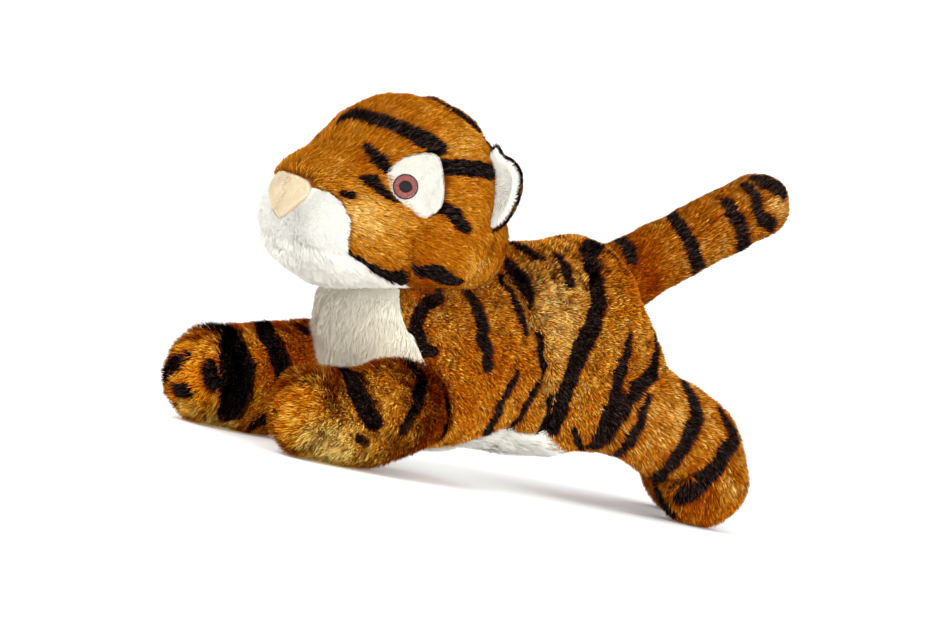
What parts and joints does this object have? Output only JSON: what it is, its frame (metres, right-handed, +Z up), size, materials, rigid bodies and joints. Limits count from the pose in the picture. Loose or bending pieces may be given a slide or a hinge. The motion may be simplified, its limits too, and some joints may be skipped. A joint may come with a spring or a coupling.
{
  "type": "plush tiger",
  "caption": "Stuffed plush tiger stretched out as if leaping, with striped pile, a white muzzle, chest and belly, and stitched eyes.",
  "frame": {"origin": "middle of the footprint box, on the floor that the paws rest on", "axes": "+Z up, +X towards the tail, so the face looks along -X and the left side along -Y"},
  "size_m": [0.3638, 0.1316, 0.1939],
  "materials": {
    "orange_plush": "pile",
    "gold_plush": "pile",
    "white_plush": "pile",
    "cream_plush": "pile",
    "nose_fabric": "short nap",
    "white_felt": "matte felt",
    "brown_thread": "satin",
    "black_thread": "satin",
    "stuffing": "loose fibre"
  },
  "bodies": {
    "torso": {"chest_bib": "cream_plush", "belly_panel": "white_plush", "shoulder_panel_left": "orange_plush", "shoulder_panel_right": "orange_plush", "hind_panel_left": "gold_plush", "hind_panel_right": "gold_plush", "torso_stuffing": "stuffing"},
    "head": {"nose_patch": "nose_fabric", "eye_patch_left": "white_felt", "eye_patch_right": "white_felt", "iris_stitching_left": "brown_thread", "iris_stitching_right": "brown_thread", "pupil_stitching_left": "black_thread", "pupil_stitching_right": "black_thread", "muzzle": "white_plush", "chin": "cream_plush", "back_of_head": "gold_plush", "crown_gusset": "orange_plush", "cheek_panel_left": "orange_plush", "cheek_panel_right": "orange_plush", "head_stuffing": "stuffing", "ear_back_left": "orange_plush", "ear_back_right": "orange_plush", "ear_inner_left": "white_plush", "ear_inner_right": "white_plush"},
    "front_leg_left": {"front_leg_left_cover": "orange_plush", "front_leg_left_stuffing": "stuffing"},
    "front_leg_right": {"front_leg_right_cover": "orange_plush", "front_leg_right_stuffing": "stuffing"},
    "hind_leg_left": {"hind_leg_left_cover": "orange_plush", "hind_leg_left_stuffing": "stuffing"},
    "hind_leg_right": {"hind_leg_right_cover": "orange_plush", "hind_leg_right_stuffing": "stuffing"},
    "tail": {"tail_cover": "orange_plush", "tail_stuffing": "stuffing"}
  },
  "joints": [
    {"name": "head_turn", "type": "hinge", "parent": "torso", "child": "head", "pos_m": [-0.0805, 0, 0.077], "axis": [0, 0, 1], "range_deg": [-15, 15], "stiffness_Nm_per_rad": 0.6},
    {"name": "front_leg_left_swing", "type": "hinge", "parent": "torso", "child": "front_leg_left", "pos_m": [-0.0705, -0.0399, 0.0395], "axis": [0, 1, 0], "range_deg": [-12, 12], "stiffness_Nm_per_rad": 1},
    {"name": "front_leg_right_swing", "type": "hinge", "parent": "torso", "child": "front_leg_right", "pos_m": [-0.0705, 0.0399, 0.0396], "axis": [0, 1, 0], "range_deg": [-12, 12], "stiffness_Nm_per_rad": 1},
    {"name": "hind_leg_left_swing", "type": "hinge", "parent": "torso", "child": "hind_leg_left", "pos_m": [0.0555, -0.031, 0.0564], "axis": [0, 1, 0], "range_deg": [-12, 12], "stiffness_Nm_per_rad": 1},
    {"name": "hind_leg_right_swing", "type": "hinge", "parent": "torso", "child": "hind_leg_right", "pos_m": [0.0555, 0.031, 0.0554], "axis": [0, 1, 0], "range_deg": [-12, 12], "stiffness_Nm_per_rad": 1},
    {"name": "tail_lift", "type": "hinge", "parent": "torso", "child": "tail", "pos_m": [0.0535, 0, 0.115], "axis": [0, -1, 0], "range_deg": [-18, 18], "stiffness_Nm_per_rad": 0.3}
  ]
}
